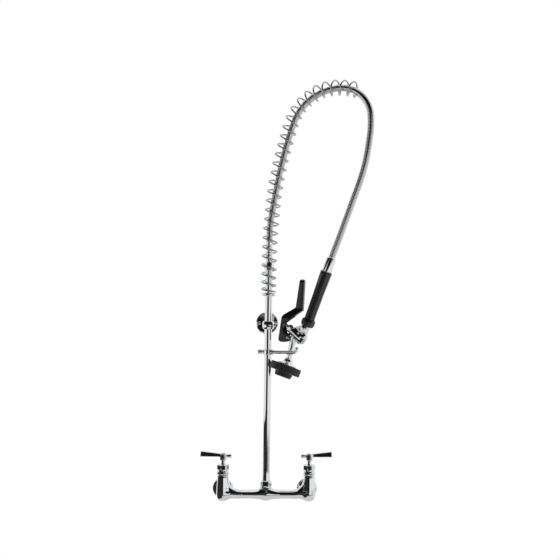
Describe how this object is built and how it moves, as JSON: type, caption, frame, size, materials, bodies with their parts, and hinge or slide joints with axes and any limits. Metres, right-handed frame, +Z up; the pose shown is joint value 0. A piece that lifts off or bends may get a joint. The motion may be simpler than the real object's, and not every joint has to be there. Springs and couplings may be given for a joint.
{
  "type": "pre rinse faucet",
  "caption": "Wall-mounted pre-rinse faucet: lever valves on a mixing base, a swivelling riser with overhead spring and hose, a finger hook and a squeeze-lever spray valve.",
  "frame": {"origin": "on the wall plane, midway between the two supply inlets and at their height", "axes": "+X to the right seen from the front, +Y into the wall, +Z up along the riser"},
  "size_m": [0.3837, 0.1755, 0.9911],
  "materials": {
    "chrome_plate": "polished chrome over brass",
    "bare_brass": "machined brass, inside the valves",
    "stainless": "plain stainless steel",
    "hose_jacket": "wound stainless steel hose jacket",
    "black_plastic": "black moulded plastic, slight sheen",
    "bumper_rubber": "dark grey moulded rubber, matte",
    "seal_rubber": "black seal rubber",
    "hot_red": "red index cap",
    "cold_blue": "blue index cap"
  },
  "bodies": {
    "faucet_base": {"mixing_body": "chrome_plate", "riser_coupling_nut": "chrome_plate", "left_inlet_washer": "seal_rubber", "left_inlet_shank": "chrome_plate", "left_union_nut": "chrome_plate", "left_wall_flange": "chrome_plate", "right_inlet_washer": "seal_rubber", "right_inlet_shank": "chrome_plate", "right_union_nut": "chrome_plate", "right_wall_flange": "chrome_plate", "hot_seat_ring": "seal_rubber", "hot_cartridge": "bare_brass", "hot_bonnet": "chrome_plate", "hot_lock_nut": "chrome_plate", "cold_seat_ring": "seal_rubber", "cold_cartridge": "bare_brass", "cold_bonnet": "chrome_plate", "cold_lock_nut": "chrome_plate", "bracket_ring": "chrome_plate", "bracket_set_screw": "stainless", "bracket_nipple": "chrome_plate", "bracket_flange": "chrome_plate", "bracket_screw_left": "stainless", "bracket_screw_right": "stainless"},
    "hot_handle": {"hot_stem": "chrome_plate", "hot_lever": "chrome_plate", "hot_handle_screw": "stainless", "hot_index_cap": "hot_red"},
    "cold_handle": {"cold_stem": "chrome_plate", "cold_lever": "chrome_plate", "cold_handle_screw": "stainless", "cold_index_cap": "cold_blue"},
    "swivel_riser": {"riser_pipe": "chrome_plate", "riser_o_ring": "seal_rubber", "spring_collar": "chrome_plate", "hose_coupling_nut": "chrome_plate", "hose_top_ferrule": "chrome_plate", "overhead_spring": "chrome_plate", "flex_hose": "hose_jacket", "hose_end_ferrule": "chrome_plate", "hose_end_washer": "seal_rubber", "handle_tube": "chrome_plate", "grip": "black_plastic", "grip_collar": "black_plastic", "valve_body": "chrome_plate", "side_cap": "chrome_plate", "valve_bonnet": "chrome_plate", "valve_seat": "bare_brass", "lever_pin": "stainless", "valve_spring": "stainless", "spray_bell": "chrome_plate", "spray_bumper": "bumper_rubber", "spray_guard": "bumper_rubber", "spray_plate": "stainless"},
    "finger_hook": {"hook_clamp": "chrome_plate", "hook_arm": "chrome_plate", "hook_screw": "stainless"},
    "spray_lever": {"squeeze_lever": "black_plastic"},
    "spray_stem": {"valve_stem": "stainless", "stem_washer": "seal_rubber"}
  },
  "joints": [
    {"name": "hot_handle_turn", "type": "hinge", "parent": "faucet_base", "child": "hot_handle", "pos_m": [-0.1016, -0.065, 0.085], "axis": [0, 0, 1], "range_deg": [0, 90]},
    {"name": "cold_handle_turn", "type": "hinge", "parent": "faucet_base", "child": "cold_handle", "pos_m": [0.1016, -0.065, 0.085], "axis": [0, 0, 1], "range_deg": [-90, 0]},
    {"name": "riser_swivel", "type": "hinge", "parent": "faucet_base", "child": "swivel_riser", "pos_m": [0, -0.065, 0.025], "axis": [0, 0, 1], "range_deg": [-160, 35]},
    {"name": "hook_swivel", "type": "hinge", "parent": "swivel_riser", "child": "finger_hook", "pos_m": [0, -0.065, 0.337], "axis": [0, 0, 1], "range_deg": [-90, 0]},
    {"name": "squeeze", "type": "hinge", "parent": "swivel_riser", "child": "spray_lever", "pos_m": [0.04894, -0.08782, 0.373], "axis": [0.4226, 0.9063, 0], "range_deg": [0, 5.5], "stiffness_Nm_per_rad": 3, "springref_deg": -5.73},
    {"name": "stem_push", "type": "slide", "parent": "swivel_riser", "child": "spray_stem", "axis": [0.6943, -0.3237, -0.6428], "range_m": [0, 0.0037], "deforming": ["valve_spring"]}
  ],
  "couplings": [
    {"joint": "stem_push", "follows": "squeeze", "m_per_rad": 0.0377}
  ]
}
